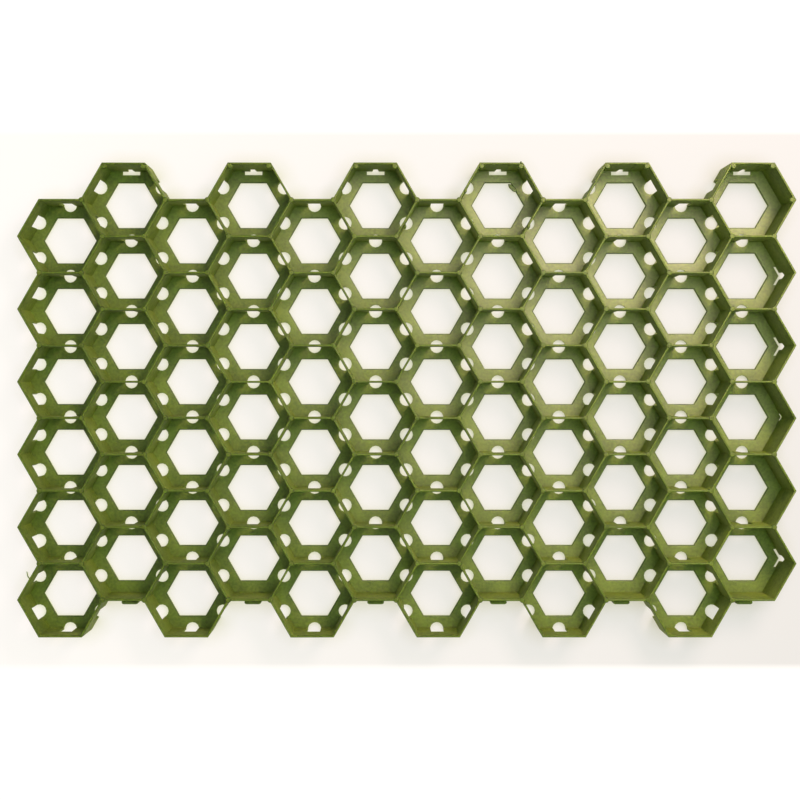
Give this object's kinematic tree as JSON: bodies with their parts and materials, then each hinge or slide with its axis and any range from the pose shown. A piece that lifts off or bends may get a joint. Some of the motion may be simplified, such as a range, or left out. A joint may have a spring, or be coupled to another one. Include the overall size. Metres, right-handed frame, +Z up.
{
  "type": "grass paver grid",
  "caption": "Honeycomb grass paver grid moulded in one piece, with open-floored hexagonal cells, drain windows in the walls, and hooks and slots along its edges that join it to the next.",
  "frame": {"origin": "middle of the underside, on the ground", "axes": "+X along the rows of columns, the longest side; +Y along the columns, towards the edge slots; +Z up"},
  "size_m": [0.6912, 0.4212, 0.038],
  "materials": {
    "recycled_polyethylene": "satin, blotchy olive green, as moulded"
  },
  "bodies": {
    "root": {"paver_grid": "recycled_polyethylene"}
  },
  "joints": []
}
